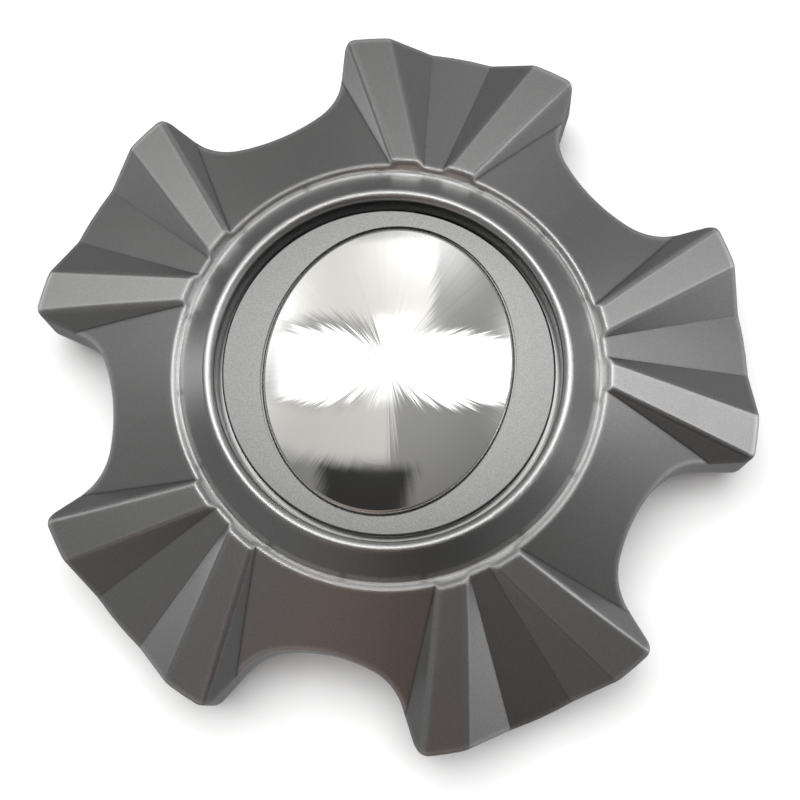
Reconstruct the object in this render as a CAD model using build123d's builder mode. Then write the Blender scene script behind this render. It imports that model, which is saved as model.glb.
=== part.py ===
"""Wheel centre cap with five lobes, a raised collar and an oval domed emblem.

Four pieces: the moulded cap body, the round emblem plate in its recess, the
chromed dome on the plate, and the spring wire behind the snap legs.

The origin is on the wheel axis, in the plane of the shoulder that the snap legs
catch behind. +Z points out of the wheel, and +Y runs along one lobe, which the
long axis of the oval dome follows. All sizes are in millimetres and degrees.
"""
import os
from math import atan2, cos, degrees, hypot, radians, sin, tan

from build123d import *

os.makedirs("parts", exist_ok=True)

# Overall form
lobe_count = 5
first_lobe_angle = 90.0
wall = 2.8
draft_angle = 3.0

# Outline, seen along the axis and measured at the upper edge of the skirt
tip_radius = 105.4
tip_corner_round = 3.6
ridge_corner_round = 12.0
valley_end_setback = 1.9
valley_corner_round = 30.0
scallop_depth = 26.0
scallop_floor_round = 46.0
scallop_side_angle = 30.0
scallop_side_offset = 26.3
scallop_side_setback = 10.8
scallop_corner_round = 18.0

# Heights above the snap shoulder, and the collar's crest and the plate from there
rim_z = 5.0
flange_z = 31.0
collar_rise = 6.2
plate_sink = 4.4

# Snap legs in the wheel's centre bore
leg_count = 10
snap_radius = 54.9
snap_depth = 0.7
snap_land = 3.5
snap_lead_in = 3.5
leg_tip_setback = 0.9
leg_wall = 1.9
leg_gap = 6.0
leg_gap_top = 12.0

# Spring wire in a groove behind the snap legs
wire_diameter = 1.8
wire_clearance = 0.05
wire_opening = 14.0
wire_seat_depth = 0.9
wire_band_top = 1.5

# Collar, from the recess wall out to the groove beside the flange
core_groove_width = 1.5
bead_wall = 2.6
bead_round = 1.9
collar_angle = 40.0
collar_foot_run = 4.0
groove_width = 0.3
groove_depth = 0.85
groove_face_run = 1.6

# Flange, a shallow cone that falls outwards
flange_fall = 0.4

# Ridges: half-widths of one lobe at its start and end stations
start_station_offset = 1.2
end_station_offset = 3.4
valley_half_start = 2.97
valley_half_end = 9.04
ridge_inner_start = 4.34
ridge_inner_end = 21.6
ridge_outer_start = 12.8
ridge_outer_end = 35.7
flank_foot_start = 14.3
flank_foot_end = 45.2
ridge_rise = 1.25
ridge_fall = 0.252
ridge_lean = 0.036
ridge_edge_round = 1.8

# Blank of a ridge: its ends past the groove and the tips, and its depth in slope heights
ridge_lead = 3.5
ridge_overrun = 3.0
ridge_root = 2.5

# Extra narrowing of the hollow under each ridge, beside the drop of its top
core_inset = 0.9

# Ribs under the lobes and behind the scallops
rib_thickness = 1.8
rib_angle = 14.5
rib_foot_height = 6.0
rib_root_height = 2.0

# Floor under the emblem, and the moat round the table that the plate lies on
floor_thickness = 2.5
moat_depth = 3.0
plate_overhang = 1.3

# Emblem plate
plate_gap = 1.7
plate_thickness = 2.4
plate_edge_round = 0.6
locating_pin_radius = 1.5

# Emblem dome
seat_margin = 4.75
seat_narrowing = 6.3
dome_gap = 0.6
seat_depth = 1.0
dome_rim_height = 1.4
dome_rim_round = 1.6
dome_rim_turn = 78.0
dome_crown = 4.2
dome_peak_slope = 0.07
dome_wall = 2.2
stud_radius = 1.75
stud_head_radius = 2.9
stud_head_height = 1.0
stud_place_x = 15.0
stud_place_y = 22.0

# Clearance of a pin or stud in its hole
pin_clearance = 0.12

# How far blanks and cuts reach past the finished form, and how close two places are one
margin = 10.0
overlap = 1.0
tolerance = 0.01

# Worked-out radii, from the legs inwards and then outwards
leg_neck_radius = snap_radius - snap_depth
leg_tip_radius = leg_neck_radius - leg_tip_setback
leg_inner_radius = leg_neck_radius - leg_wall
core_groove_inner = leg_inner_radius - core_groove_width
recess_radius = core_groove_inner - bead_wall
plate_radius = recess_radius - plate_gap
table_radius = plate_radius - plate_overhang
seat_half_length = plate_radius - seat_margin
seat_half_width = seat_half_length - seat_narrowing
locating_pin_place = (seat_half_width + table_radius) / 2
collar_foot_radius = snap_radius + collar_foot_run
groove_outer_radius = collar_foot_radius + groove_width
flange_inner_radius = groove_outer_radius + groove_face_run
start_station = flange_inner_radius + start_station_offset
end_station = tip_radius - end_station_offset
valley_end_radius = tip_radius - valley_end_setback
scallop_radius = tip_radius - scallop_depth
scallop_side_reach = tip_radius - scallop_side_setback
reach = tip_radius + margin

# Worked-out heights
crest_z = flange_z + collar_rise
plate_z = crest_z - plate_sink
seat_z = plate_z - seat_depth
floor_top_z = plate_z - plate_thickness
floor_under_z = floor_top_z - floor_thickness
moat_floor_z = floor_top_z - moat_depth
moat_under_z = moat_floor_z - floor_thickness
core_groove_top = crest_z - bead_round - wall
groove_floor_z = flange_z - groove_depth
skirt_top_z = flange_z + ridge_rise
leg_tip_z = -snap_land - snap_lead_in
dome_top_z = plate_z + dome_rim_height + dome_crown
sky = crest_z + margin

# Other worked-out sizes
pitch = 360 / lobe_count
wire_radius = wire_diameter / 2
wire_z = -snap_land / 2
wire_band_radius = leg_inner_radius - wire_seat_depth
wire_ring_radius = leg_inner_radius - wire_radius - wire_clearance
stud_places = [(x * stud_place_x, y * stud_place_y) for x in (-1, 1) for y in (-1, 1)]
pin_places = [(side * locating_pin_place, 0) for side in (-1, 1)]
underside_drop = wall * hypot(1, flange_fall)
scallop_height = flange_z - flange_fall * (scallop_radius - flange_inner_radius) - rim_z
draft_run = scallop_height * tan(radians(draft_angle))


def flange_height(radius):
    """Height of the flange's upper face at a distance from the axis."""
    return flange_z - flange_fall * (radius - flange_inner_radius)


def ridge_height(along, across):
    """Height of a ridge's flat top at a place in its lobe."""
    start = flange_height(start_station) + ridge_rise
    return start - ridge_fall * (along - start_station) - ridge_lean * (across - ridge_inner_start)


def at_station(start, end, along):
    """A half-width that runs straight from the start station to the end one."""
    return start + (end - start) * (along - start_station) / (end_station - start_station)


def groove_face_radius(height):
    """Radius of the groove's outer face, a cone that goes on above the flange."""
    return groove_outer_radius + groove_face_run * (height - groove_floor_z) / groove_depth


def ridge_section(along, drop, inset):
    """Corners of one ridge across its lobe, carried down below the flange."""
    crease = at_station(valley_half_start, valley_half_end, along)
    inner = at_station(ridge_inner_start, ridge_inner_end, along)
    outer = at_station(ridge_outer_start, ridge_outer_end, along)
    foot = at_station(flank_foot_start, flank_foot_end, along)
    inner_z = ridge_height(along, inner)
    outer_z = ridge_height(along, outer)
    inner_root = inner_z + ridge_root * (flange_height(hypot(along, crease)) - inner_z)
    outer_root = outer_z + ridge_root * (flange_height(hypot(along, foot)) - outer_z)
    return [
        (inner + ridge_root * (crease - inner) + inset, inner_root - drop),
        (inner + inset, inner_z - drop),
        (outer - inset, outer_z - drop),
        (outer + ridge_root * (foot - outer) - inset, outer_root - drop),
    ]


def ridge(drop, inset, rounding):
    """Blank of one ridge of the lobe that points along +X, on its +Y side."""
    near = start_station - ridge_lead
    far = tip_radius + ridge_overrun
    with BuildPart() as form:
        for along in (near, far):
            with BuildSketch(Plane.YZ.offset(along)):
                Polygon(*ridge_section(along, drop, inset), align=None)
        loft(ruled=True)
        if rounding > 0:
            top_corners = ridge_section(near, drop, inset)[1:3]
            long_edges = form.edges().filter_by(lambda e: e.length > far - near)
            top_edges = long_edges.filter_by(
                lambda e: any(
                    hypot(v.X - near, v.Y - y, v.Z - z) < tolerance for v in e.vertices() for y, z in top_corners
                )
            )
            fillet(top_edges, radius=rounding)
    return form.part


def scallop():
    """What one scallop takes from the round outline, on the +X side."""
    side = radians(scallop_side_angle)
    apex = scallop_side_reach - scallop_side_offset / tan(side)
    far = 2 * tip_radius
    spread = (far - apex) * tan(side)
    with BuildSketch(Plane.XY) as shape:
        with Locations((scallop_radius + scallop_floor_round, 0)):
            Circle(scallop_floor_round)
        with Locations((scallop_radius + scallop_floor_round + far / 2, 0)):
            Rectangle(far, 2 * scallop_floor_round)
        Polygon((apex, 0), (far, -spread), (far, spread), align=None, mode=Mode.INTERSECT)
        corners = shape.vertices().filter_by(lambda v: v.X < tip_radius and abs(v.Y) > scallop_corner_round / 2)
        fillet(corners, radius=scallop_corner_round)
    return shape.sketch


def valley_end():
    """What the end of a valley lacks beside the ends of its two ridges."""
    inner = at_station(valley_half_start, valley_half_end, valley_end_radius)
    outer = at_station(ridge_inner_start, ridge_inner_end, tip_radius)
    inner_along = (valley_end_radius**2 - inner**2) ** 0.5
    outer_along = (tip_radius**2 - outer**2) ** 0.5
    with BuildSketch(Plane.XY) as shape:
        with BuildLine():
            ThreePointArc((inner_along, -inner), (valley_end_radius, 0), (inner_along, inner))
            Polyline(
                (inner_along, inner),
                (outer_along, outer),
                (reach, outer),
                (reach, -outer),
                (outer_along, -outer),
                (inner_along, -inner),
            )
        make_face()
    return shape.sketch


def inside_ridges(place):
    """Whether a place is nearer its lobe's axis than the middles of the two ridges."""
    turn = degrees(atan2(place.Y, place.X)) - first_lobe_angle
    ridge_middle = degrees(atan2((ridge_inner_end + ridge_outer_end) / 2, end_station))
    return abs((turn + pitch / 2) % pitch - pitch / 2) < ridge_middle


def outline(grow):
    """Plan outline of the skirt, grown outwards by grow."""
    one_scallop = scallop()
    one_valley_end = valley_end()
    valley_corners = [(valley_end_radius, valley_corner_round), (tip_radius, ridge_corner_round)]
    with BuildSketch(Plane.XY) as plan:
        Circle(tip_radius)
        with PolarLocations(0, lobe_count, start_angle=first_lobe_angle + pitch / 2):
            add(one_scallop, mode=Mode.SUBTRACT)
        tip_corners = plan.vertices().filter_by(lambda v: hypot(v.X, v.Y) > tip_radius - tolerance)
        fillet(tip_corners, radius=tip_corner_round)
        with PolarLocations(0, lobe_count, start_angle=first_lobe_angle):
            add(one_valley_end, mode=Mode.SUBTRACT)
        for radius, rounding in valley_corners:
            corners = plan.vertices().filter_by(
                lambda v: abs(hypot(v.X, v.Y) - radius) < tolerance and inside_ridges(v)
            )
            fillet(corners, radius=rounding)
        offset(amount=grow)
    return plan.sketch


def lobed_form(drop, inset, rounding):
    """Flange and ridges filled down to the rim, lowered by drop."""
    single = ridge(drop, inset, rounding)
    with BuildPart() as form:
        with BuildSketch(Plane.XZ):
            Polygon(
                (0, rim_z - overlap),
                (reach, rim_z - overlap),
                (reach, flange_height(reach) - drop),
                (0, flange_height(0) - drop),
                align=None,
            )
        revolve(axis=Axis.Z)
        with PolarLocations(0, lobe_count, start_angle=first_lobe_angle):
            add(single)
            add(single.mirror(Plane.XZ))
    return form.part


def skirted(form, grow):
    """The form trimmed to the outline, with the skirt's draft."""
    plan = outline(grow)
    with BuildPart() as trimmed:
        with BuildSketch(Plane.XY.offset(rim_z)):
            add(plan)
        extrude(amount=skirt_top_z - rim_z, taper=draft_angle)
        add(form, mode=Mode.INTERSECT)
    return trimmed.part


def ribs():
    """Radial ribs between the snap legs and the skirt, as tall blanks."""
    with BuildPart() as blanks:
        with BuildSketch(Plane.XZ):
            Polygon(
                (leg_inner_radius, leg_gap_top + rib_root_height),
                (reach, rim_z + rib_foot_height),
                (reach, skirt_top_z),
                (leg_inner_radius, skirt_top_z),
                align=None,
            )
        one = extrude(amount=rib_thickness / 2, both=True, mode=Mode.PRIVATE)
        for angle in (-rib_angle, rib_angle, pitch / 2):
            with PolarLocations(0, lobe_count, start_angle=first_lobe_angle + angle):
                add(one)
    return blanks.part


def dome_form(shrink, foot_z):
    """Solid oval dome, turned as a round one and then narrowed across."""
    half_length = seat_half_length - dome_gap - shrink
    half_width = seat_half_width - dome_gap - shrink
    wall_top = plate_z + dome_rim_height - dome_rim_round - shrink
    with BuildPart() as form:
        with BuildSketch(Plane.XZ):
            with BuildLine():
                Polyline((0, dome_top_z - shrink), (0, foot_z), (half_length, foot_z), (half_length, wall_top))
                turned = JernArc((half_length, wall_top), (0, 1), dome_rim_round, dome_rim_turn)
                Spline(turned @ 1, (0, dome_top_z - shrink), tangents=[turned % 1, (-1, dome_peak_slope)])
            make_face()
        revolve(axis=Axis.Z)
        scale(by=(half_width / half_length, 1, 1))
    return form.part


# Cap body: the lobed form, its collar, and the hollow beneath
outer_form = skirted(lobed_form(0, 0, ridge_edge_round), draft_run)
core_form = skirted(lobed_form(underside_drop, core_inset, 0), draft_run - wall)

with BuildPart() as core:
    add(core_form)
    add(ribs(), mode=Mode.SUBTRACT)
    Cylinder(leg_neck_radius, 2 * sky, mode=Mode.SUBTRACT)

with BuildPart() as cap_body:
    add(outer_form)
    # The groove's outer face trims the inner ends of the ridges
    with BuildSketch(Plane.XZ):
        Polygon(
            (0, groove_floor_z),
            (groove_outer_radius, groove_floor_z),
            (groove_face_radius(sky), sky),
            (0, sky),
            align=None,
        )
    revolve(axis=Axis.Z, mode=Mode.SUBTRACT)
    # Bead and collar, with the recess wall inside them
    bead_centre = (recess_radius + bead_round, crest_z - bead_round)
    bead_end = (
        bead_centre[0] + bead_round * sin(radians(collar_angle)),
        bead_centre[1] + bead_round * cos(radians(collar_angle)),
    )
    bead_middle = (
        bead_centre[0] - bead_round * sin(radians(collar_angle)),
        bead_centre[1] + bead_round * cos(radians(collar_angle)),
    )
    with BuildSketch(Plane.XZ):
        with BuildLine():
            Polyline(
                (recess_radius, bead_centre[1]),
                (recess_radius, rim_z),
                (collar_foot_radius, rim_z),
                (collar_foot_radius, groove_floor_z),
                bead_end,
            )
            ThreePointArc(bead_end, bead_middle, (recess_radius, bead_centre[1]))
        make_face()
    revolve(axis=Axis.Z)
    # Hollow beneath, with the core groove behind the bead, and the recess above
    add(core.part, mode=Mode.SUBTRACT)
    with BuildSketch(Plane.XZ):
        Polygon(
            (0, rim_z),
            (leg_inner_radius, rim_z),
            (leg_inner_radius, core_groove_top),
            (core_groove_inner, core_groove_top),
            (core_groove_inner, moat_under_z),
            (table_radius - floor_thickness, moat_under_z),
            (table_radius - floor_thickness, floor_under_z),
            (0, floor_under_z),
            align=None,
        )
        Polygon(
            (0, floor_top_z),
            (table_radius, floor_top_z),
            (table_radius, moat_floor_z),
            (recess_radius, moat_floor_z),
            (recess_radius, sky),
            (0, sky),
            align=None,
        )
    revolve(axis=Axis.Z, mode=Mode.SUBTRACT)
    # Snap legs: a ring with a hooked end, parted by gaps
    with BuildSketch(Plane.XZ):
        Polygon(
            (leg_inner_radius, rim_z + overlap),
            (leg_neck_radius, rim_z + overlap),
            (leg_neck_radius, 0),
            (snap_radius, 0),
            (snap_radius, -snap_land),
            (leg_tip_radius, leg_tip_z),
            (wire_band_radius, leg_tip_z),
            (wire_band_radius, wire_band_top - wire_seat_depth),
            (leg_inner_radius, wire_band_top),
            align=None,
        )
    revolve(axis=Axis.Z)
    with BuildSketch(Plane.XZ):
        with Locations((wire_ring_radius, wire_z)):
            Circle(wire_radius + wire_clearance)
    revolve(axis=Axis.Z, mode=Mode.SUBTRACT)
    with BuildSketch(Plane.XY.offset(leg_tip_z - overlap)):
        with PolarLocations(leg_neck_radius, leg_count, start_angle=first_lobe_angle + 180 / leg_count):
            Rectangle(4 * (snap_radius - wire_band_radius), leg_gap)
    extrude(amount=leg_gap_top - leg_tip_z + overlap, mode=Mode.SUBTRACT)
    # Holes for the plate's locating pins and the dome's studs
    with Locations(*[(*place, floor_top_z) for place in pin_places]):
        Hole(locating_pin_radius + pin_clearance, depth=floor_thickness)
    with Locations(*[(*place, floor_top_z) for place in stud_places]):
        Hole(stud_radius + pin_clearance, depth=floor_thickness)

cap_body.part.label = "cap_body"
export_step(cap_body.part, "parts/cap_body.step")

# Emblem plate: a disc with an oval seat for the dome and two locating pins beneath
with BuildPart() as emblem_plate:
    with BuildSketch(Plane.XY.offset(floor_top_z)):
        Circle(plate_radius)
    extrude(amount=plate_thickness)
    fillet(emblem_plate.edges().group_by(Axis.Z)[-1], radius=plate_edge_round)
    with BuildSketch(Plane.XY.offset(seat_z)):
        Ellipse(seat_half_width, seat_half_length)
    extrude(amount=seat_depth, mode=Mode.SUBTRACT)
    with Locations(*[(*place, seat_z) for place in stud_places]):
        Hole(stud_radius + pin_clearance, depth=seat_z - floor_top_z)
    with BuildSketch(Plane.XY.offset(floor_under_z)):
        with Locations(*pin_places):
            Circle(locating_pin_radius)
    extrude(amount=floor_thickness)

emblem_plate.part.label = "emblem_plate"
export_step(emblem_plate.part, "parts/emblem_plate.step")

# Emblem dome: an oval shell on four studs with spread heads under the floor
dome_outside = dome_form(0, seat_z)
dome_inside = dome_form(dome_wall, seat_z - 2 * dome_wall)

with BuildPart() as stud_tops:
    with BuildSketch(Plane.XY.offset(seat_z)):
        with Locations(*stud_places):
            Circle(stud_radius)
    extrude(amount=sky - seat_z)
    add(dome_outside, mode=Mode.INTERSECT)

with BuildPart() as emblem_dome:
    add(dome_outside)
    add(dome_inside, mode=Mode.SUBTRACT)
    add(stud_tops.part)
    with BuildSketch(Plane.XY.offset(floor_under_z)):
        with Locations(*stud_places):
            Circle(stud_radius)
    extrude(amount=seat_z - floor_under_z)
    with BuildSketch(Plane.XY.offset(floor_under_z)):
        with Locations(*stud_places):
            Circle(stud_head_radius)
    extrude(amount=-stud_head_height)

emblem_dome.part.label = "emblem_dome"
export_step(emblem_dome.part, "parts/emblem_dome.step")

# Retaining wire: an open ring of round wire
with BuildPart() as retaining_wire:
    opening = wire_opening / wire_ring_radius / 2
    with BuildLine() as route:
        CenterArc((0, 0, wire_z), wire_ring_radius, 90 + degrees(opening), 360 - 2 * degrees(opening))
    with BuildSketch(route.line ^ 0):
        Circle(wire_radius)
    sweep()

retaining_wire.part.label = "retaining_wire"
export_step(retaining_wire.part, "parts/retaining_wire.step")
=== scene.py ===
"""Looks of the wheel centre cap: paint, satin plate, chrome dome, wire and studio.

All lengths are in metres, in the frame of the part: +Z out of the wheel and +Y
along one lobe. Angles are in degrees.
"""
from math import cos, radians, sin

import bpy
from mathutils import Matrix, Vector


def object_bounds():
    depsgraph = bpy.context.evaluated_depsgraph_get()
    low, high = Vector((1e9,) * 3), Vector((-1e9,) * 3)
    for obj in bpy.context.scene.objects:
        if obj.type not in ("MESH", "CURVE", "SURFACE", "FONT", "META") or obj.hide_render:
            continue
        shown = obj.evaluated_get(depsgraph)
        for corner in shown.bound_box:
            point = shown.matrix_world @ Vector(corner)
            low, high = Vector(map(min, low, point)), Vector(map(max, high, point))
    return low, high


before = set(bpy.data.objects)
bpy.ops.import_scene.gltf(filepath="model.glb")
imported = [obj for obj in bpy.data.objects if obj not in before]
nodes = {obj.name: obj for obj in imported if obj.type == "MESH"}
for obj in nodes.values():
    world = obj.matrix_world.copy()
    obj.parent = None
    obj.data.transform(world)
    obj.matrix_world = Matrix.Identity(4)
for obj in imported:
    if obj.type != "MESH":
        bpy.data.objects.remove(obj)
cad_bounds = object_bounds()

MM = 0.001

# Camera, fitted to the photograph's view: a close look down with a strong perspective
CAMERA_PLACE = Vector((28.1, -71.3, 371.2)) * MM
CAMERA_TARGET = Vector((4.94, -7.68, 31.0)) * MM
CAMERA_ROLL = 8.02
CAMERA_LENS_MM = 56.14
CAMERA_SENSOR_MM = 36.0
CAMERA_NEAR_CLIP = 10.0 * MM

# Paint: how far it looks for creases, where it paints shade, and for crests, where it paints a highlight
# and rounds the normal, and the rounding of flat places and crests
CREASE_REACH = 1.0 * MM
CREST_REACH = 2.0 * MM
FLAT_ROUNDING = 0.2 * MM
CREST_ROUNDING = 1.4 * MM
EDGE_SAMPLES = 4

# Bump: heights of the paint's flakes, the plate's grain, and the dome's streaks and waves
FLAKE_HEIGHT = 0.02 * MM
GRAIN_HEIGHT = 0.02 * MM
STREAK_HEIGHT = 0.14 * MM
WAVE_HEIGHT = 0.05 * MM

# Studio seen from the part. A glow is a round soft light: elevation, azimuth, spread,
# strength and colour. A shade takes light away: elevation, azimuth, spread and depth.
NEUTRAL = (1.0, 1.0, 1.0)
CREAM = (1.0, 0.98, 0.92)
WARM = (1.0, 0.48, 0.28)
SURROUND = (0.22, 0.22, 0.22)
GLOWS = {
    "key": (47, 30, 11, 1.6, NEUTRAL),
    "back": (50, 92, 13, 0.75, NEUTRAL),
    "left": (46, 162, 12, 1.0, NEUTRAL),
    "right": (18, 0, 9, 0.8, NEUTRAL),
    "low_back": (13, 85, 16, 0.2, NEUTRAL),
    "table_right": (-13, 28, 23, 0.33, NEUTRAL),
    "table_left": (-5, 180, 9, 1.0, NEUTRAL),
    "ceiling": (82, 90, 18, 0.12, CREAM),
    "warm": (42, 276, 20, 0.27, WARM),
    "lamp": (74, 92, 5, 1.6, NEUTRAL),
}
SHADES = {
    "front": (29, 295, 32, 0.87),
}

# Overhead panels and a dark card: centre, half lengths and soft edges, as sideways parts of
# their direction, then strength and colour, or the card's depth. All are turned together,
# and all fade out between PANEL_FULL_HEIGHT, the upward part of the direction, and the horizon.
PANELS = {
    "strip": ((0.0, 0.212), (0.46, 0.108), (0.12, 0.02), 2.3, NEUTRAL),
    "middle": ((-0.054, 0.223), (0.07, 0.165), (0.03, 0.02), 1.2, NEUTRAL),
    "upper_left": ((-0.24, 0.5), (0.34, 0.14), (0.02, 0.03), 0.5, CREAM),
    "lower_left": ((-0.33, 0.0), (0.33, 0.1), (0.02, 0.05), 0.34, CREAM),
}
CARD = ((-0.1, -0.25), (0.2, 0.14), (0.05, 0.03), 0.85)
PANELS_TURN = 8.0
PANEL_FULL_HEIGHT = 0.2

# Floor, the backdrop that the camera sees past it, and the light that makes them even
FLOOR_HALF = 3.0
BACKDROP = (1.0, 1.0, 1.0, 1.0)
FILL_PLACE = Vector((-0.2, 0.3, 1.3))
FILL_ANGLE = 60.0
FILL_STRENGTH = 2.5


def aim(obj, target, roll=0.0):
    """Turns a camera or light so that its -Z looks at the target."""
    look = (target - obj.location).to_track_quat("-Z", "Y")
    obj.rotation_mode = "QUATERNION"
    obj.rotation_quaternion = look @ Matrix.Rotation(radians(roll), 4, "Z").to_quaternion()


def add_object(name, data):
    """Adds an object to the scene."""
    obj = bpy.data.objects.new(name, data)
    bpy.context.scene.collection.objects.link(obj)
    return obj


def make_camera():
    """The photograph's camera."""
    data = bpy.data.cameras.new("camera")
    data.sensor_width = CAMERA_SENSOR_MM
    data.lens = CAMERA_LENS_MM
    data.clip_start = CAMERA_NEAR_CLIP
    camera = add_object("camera", data)
    camera.location = CAMERA_PLACE
    aim(camera, CAMERA_TARGET, -CAMERA_ROLL)
    bpy.context.scene.camera = camera


class Nodes:
    """A node tree with short ways to add and link its nodes."""

    def __init__(self, tree):
        self.tree = tree

    def node(self, kind, **settings):
        """Adds a node. Settings name its inputs or, where it has no such input, its properties."""
        made = self.tree.nodes.new(kind)
        for name, value in settings.items():
            title = name.replace("_", " ").title()
            if title in made.inputs:
                made.inputs[title].default_value = value
            else:
                setattr(made, name, value)
        return made

    def link(self, output, target):
        """Joins an output socket to an input socket."""
        self.tree.links.new(output, target)

    def fill(self, target, value):
        """Gives an input a number, a colour or another node's output."""
        if isinstance(value, bpy.types.NodeSocket):
            self.link(value, target)
        else:
            target.default_value = value

    def math(self, operation, first, second=0.0):
        """A number worked out from numbers or outputs."""
        made = self.node("ShaderNodeMath", operation=operation)
        self.fill(made.inputs[0], first)
        self.fill(made.inputs[1], second)
        return made.outputs[0]

    def vector(self, operation, first, second=(0.0, 0.0, 0.0)):
        """A vector, colour or dot product worked out from vectors or colours."""
        made = self.node("ShaderNodeVectorMath", operation=operation)
        self.fill(made.inputs[0], first)
        self.fill(made.inputs[1], second)
        return made.outputs["Value" if operation == "DOT_PRODUCT" else "Vector"]

    def scaled(self, colour, factor):
        """A colour or vector times a number."""
        made = self.node("ShaderNodeVectorMath", operation="SCALE")
        self.fill(made.inputs[0], colour)
        self.fill(made.inputs["Scale"], factor)
        return made.outputs["Vector"]

    def spread(self, value, low, high, start=0.0, end=1.0, smooth=False):
        """Maps a value between start and end onto a range."""
        made = self.node("ShaderNodeMapRange")
        made.interpolation_type = "SMOOTHSTEP" if smooth else "LINEAR"
        made.inputs["From Min"].default_value = start
        made.inputs["From Max"].default_value = end
        made.inputs["To Min"].default_value = low
        made.inputs["To Max"].default_value = high
        self.link(value, made.inputs["Value"])
        return made.outputs["Result"]

    def mixed(self, kind, factor, first, second):
        """A blend of two vectors (VECTOR) or two colours (RGBA)."""
        made = self.node("ShaderNodeMix", data_type=kind)
        in_use = [socket for socket in made.inputs if socket.enabled]
        for socket, value in zip(in_use, (factor, first, second)):
            self.fill(socket, value)
        return next(socket for socket in made.outputs if socket.enabled)


class Shader(Nodes):
    """A new material and its main shader."""

    def __init__(self, name):
        self.material = bpy.data.materials.new(name)
        self.material.use_nodes = True
        super().__init__(self.material.node_tree)
        self.bsdf = self.tree.nodes["Principled BSDF"]

    def set(self, **values):
        """Sets the main shader's own inputs."""
        for name, value in values.items():
            self.bsdf.inputs[name.replace("_", " ").title()].default_value = value

    def drive(self, **outputs):
        """Links outputs to the main shader's inputs."""
        for name, output in outputs.items():
            self.link(output, self.bsdf.inputs[name.replace("_", " ").title()])

    def place(self):
        """Coordinates fixed to the object, in metres."""
        return self.node("ShaderNodeTexCoord").outputs["Object"]

    def noise(self, scale, detail=2.0, place=None):
        """Noise over the object's own coordinates, or over a place that is given."""
        made = self.node("ShaderNodeTexNoise", scale=scale, detail=detail)
        self.link(place or self.place(), made.inputs["Vector"])
        return made.outputs["Fac"]

    def ramp(self, value, stops):
        """Colours a value by stops of (position, colour)."""
        made = self.node("ShaderNodeValToRGB")
        elements = made.color_ramp.elements
        while len(elements) < len(stops):
            elements.new(1.0)
        for element, (position, colour) in zip(elements, stops):
            element.position = position
            element.color = (*colour, 1.0)
        self.link(value, made.inputs["Fac"])
        return made.outputs["Color"]

    def bump(self, height, strength, distance, normal=None):
        """A bump from a height, on top of another normal if one is given."""
        made = self.node("ShaderNodeBump", strength=strength, distance=distance)
        self.link(height, made.inputs["Height"])
        if normal is not None:
            self.link(normal, made.inputs["Normal"])
        return made.outputs["Normal"]

    def openness(self, reach, inside=False):
        """How open the surface is: lower in creases or, seen from inside, along crests."""
        made = self.node("ShaderNodeAmbientOcclusion", samples=EDGE_SAMPLES, inside=inside, only_local=True)
        made.inputs["Distance"].default_value = reach
        return made.outputs["AO"]

    def rounded(self, radius):
        """The normal with edges rounded off."""
        made = self.node("ShaderNodeBevel", samples=EDGE_SAMPLES)
        made.inputs["Radius"].default_value = radius
        return made.outputs["Normal"]


def silver_paint():
    """Metallic silver paint with fine flakes under a clear coat, with painted shade in its creases and a
    painted highlight along its edges.
    """
    s = Shader("silver_paint")
    s.set(metallic=1.0, coat_weight=0.5, coat_roughness=0.06)
    flakes = s.noise(3200.0, detail=1.0)
    clouds = s.noise(60.0, detail=3.0)
    colour = s.ramp(flakes, [(0.3, (0.36, 0.36, 0.358)), (0.72, (0.46, 0.46, 0.458))])
    # Painted shade: the base colour is darkened down to 0.35 in creases, where the surface is less open
    painted_crease_shade = s.spread(s.openness(CREASE_REACH), 0.35, 1.0, start=0.84, end=0.97)
    inside = s.openness(CREST_REACH, inside=True)
    # Painted highlight: the base colour is brightened up to 1.9 times along crests, where the surface seen
    # from inside is less open
    painted_edge_highlight = s.spread(inside, 1.9, 1.0, start=0.8, end=0.93)
    crest = s.spread(inside, 1.0, 0.0, start=0.82, end=0.98)
    normal = s.mixed("VECTOR", crest, s.rounded(FLAT_ROUNDING), s.rounded(CREST_ROUNDING))
    s.drive(
        base_color=s.scaled(colour, s.math("MULTIPLY", painted_crease_shade, painted_edge_highlight)),
        roughness=s.spread(clouds, 0.27, 0.32),
        normal=s.bump(flakes, 0.05, FLAKE_HEIGHT, normal),
    )
    return s.material


def satin_silver():
    """Satin silver of the round plate, with a fine grain."""
    s = Shader("satin_silver")
    s.set(metallic=1.0)
    grain = s.noise(2600.0)
    s.drive(
        base_color=s.ramp(grain, [(0.3, (0.15, 0.15, 0.148)), (0.7, (0.205, 0.205, 0.202))]),
        roughness=s.spread(grain, 0.2, 0.26),
        normal=s.bump(grain, 0.12, GRAIN_HEIGHT),
    )
    return s.material


def chrome_plating():
    """Bright plating over a dome polished outwards from its middle."""
    s = Shader("chrome_plating")
    s.set(metallic=1.0, base_color=(0.9, 0.9, 0.885, 1.0))
    waves = s.noise(90.0, detail=1.0)
    level = s.vector("MULTIPLY", s.place(), (1.0, 1.0, 0.0))
    streaks = s.noise(9.0, detail=3.0, place=s.vector("NORMALIZE", level))
    polish = s.bump(streaks, 0.25, STREAK_HEIGHT)
    s.drive(
        roughness=s.spread(waves, 0.03, 0.06),
        normal=s.bump(waves, 0.08, WAVE_HEIGHT, polish),
    )
    return s.material


def spring_steel():
    """Drawn wire with faint marks along it."""
    s = Shader("spring_steel")
    s.set(metallic=1.0)
    marks = s.noise(700.0, detail=3.0)
    s.drive(
        base_color=s.ramp(marks, [(0.35, (0.36, 0.35, 0.34)), (0.65, (0.52, 0.51, 0.5))]),
        roughness=s.spread(marks, 0.25, 0.45),
    )
    return s.material


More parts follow.
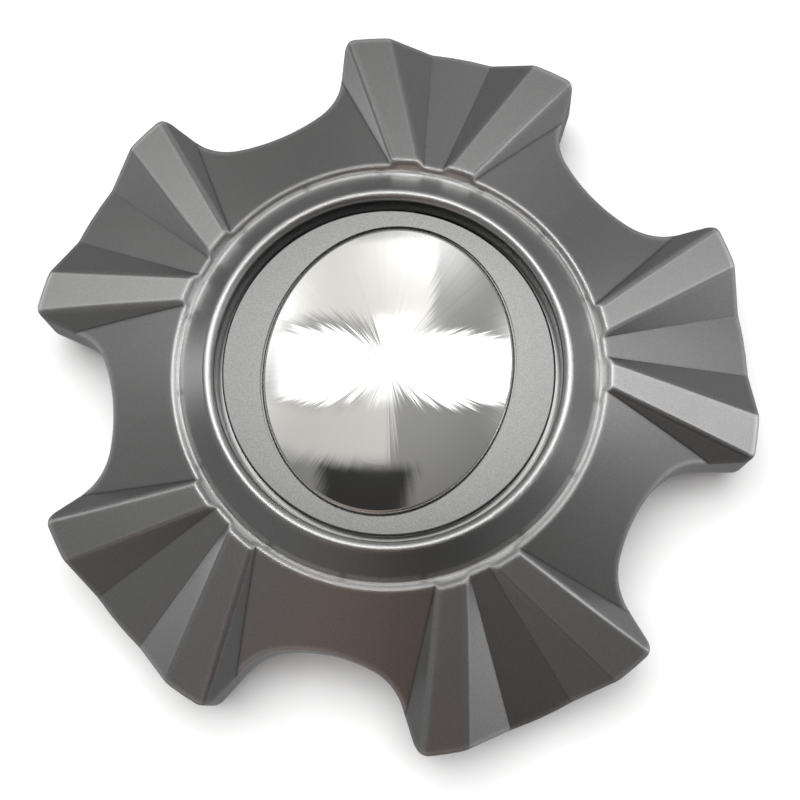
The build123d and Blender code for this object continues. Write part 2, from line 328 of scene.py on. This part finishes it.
def pale_floor():
    """Matt white of the floor, with hardly visible clouds."""
    s = Shader("floor")
    s.set(roughness=0.9)
    s.drive(base_color=s.ramp(s.noise(40.0), [(0.3, (0.93, 0.93, 0.93)), (0.7, (0.95, 0.95, 0.95))]))
    return s.material


def dress(node, material):
    """Gives a CAD node its material."""
    slots = nodes[node].data.materials
    slots.clear()
    slots.append(material)


def make_floor():
    """A pale floor under the part, left out of reflections."""
    low = cad_bounds[0][2]
    corners = [(x * FLOOR_HALF, y * FLOOR_HALF, low) for x, y in ((-1, -1), (1, -1), (1, 1), (-1, 1))]
    mesh = bpy.data.meshes.new("floor")
    mesh.from_pydata(corners, [], [(0, 1, 2, 3)])
    mesh.materials.append(pale_floor())
    floor = add_object("floor", mesh)
    floor.visible_glossy = False


def toward(elevation, azimuth):
    """The direction at an elevation and azimuth."""
    level = cos(radians(elevation))
    return (level * cos(radians(azimuth)), level * sin(radians(azimuth)), sin(radians(elevation)))


def lobe(n, place, elevation, azimuth, spread):
    """A round soft spot on the sky, 1 in its middle."""
    nearness = n.vector("DOT_PRODUCT", place, toward(elevation, azimuth))
    steepness = 1.0 / (1.0 - cos(radians(spread)))
    return n.math("EXPONENT", n.math("MULTIPLY", n.math("SUBTRACT", nearness, 1.0), steepness))


def panel(n, sideways, centre, half, edge):
    """A rectangle overhead, 1 inside and 0 outside its soft edge."""
    inside = n.spread(sideways.outputs["Z"], 0.0, 1.0, end=PANEL_FULL_HEIGHT)
    for axis in range(2):
        away = n.math("ABSOLUTE", n.math("SUBTRACT", sideways.outputs[axis], centre[axis]))
        start = half[axis] - edge[axis]
        end = half[axis] + edge[axis]
        inside = n.math("MULTIPLY", inside, n.spread(away, 1.0, 0.0, start, end, smooth=True))
    return inside


def brightened(n, light, spot, strength, colour):
    """The light with a spot of light added."""
    tint = tuple(strength * part for part in colour)
    return n.vector("ADD", light, n.scaled(tint, spot))


def darkened(n, light, spot, depth):
    """The light with a spot taken out of it."""
    return n.scaled(light, n.math("SUBTRACT", 1.0, n.math("MULTIPLY", spot, depth)))


def make_world():
    """The studio round the part: a grey room with soft lights and a dark side at the front."""
    world = bpy.data.worlds.new("studio")
    bpy.context.scene.world = world
    world.use_nodes = True
    n = Nodes(world.node_tree)
    place = n.node("ShaderNodeTexCoord").outputs["Generated"]
    turned = n.node("ShaderNodeVectorRotate", rotation_type="Z_AXIS", angle=-radians(PANELS_TURN))
    n.link(place, turned.inputs["Vector"])
    sideways = n.node("ShaderNodeSeparateXYZ")
    n.link(turned.outputs["Vector"], sideways.inputs["Vector"])

    light = SURROUND
    for *where, strength, colour in GLOWS.values():
        light = brightened(n, light, lobe(n, place, *where), strength, colour)
    for *where, depth in SHADES.values():
        light = darkened(n, light, lobe(n, place, *where), depth)
    for *where, strength, colour in PANELS.values():
        light = brightened(n, light, panel(n, sideways, *where), strength, colour)
    *where, depth = CARD
    light = darkened(n, light, panel(n, sideways, *where), depth)

    seen = n.node("ShaderNodeLightPath").outputs["Is Camera Ray"]
    shown = n.mixed("RGBA", seen, light, BACKDROP)
    n.link(shown, n.tree.nodes["Background"].inputs["Color"])


def make_fill():
    """A wide soft light from above for the floor, left out of reflections."""
    data = bpy.data.lights.new("fill", "SUN")
    data.angle = radians(FILL_ANGLE)
    data.energy = FILL_STRENGTH
    light = add_object("fill", data)
    light.location = FILL_PLACE
    aim(light, Vector((0.0, 0.0, 0.0)))
    light.visible_glossy = False


bpy.context.scene.view_settings.view_transform = "Standard"
make_camera()
make_floor()
make_world()
make_fill()
dress("cap_body", silver_paint())
dress("emblem_plate", satin_silver())
dress("emblem_dome", chrome_plating())
dress("retaining_wire", spring_steel())
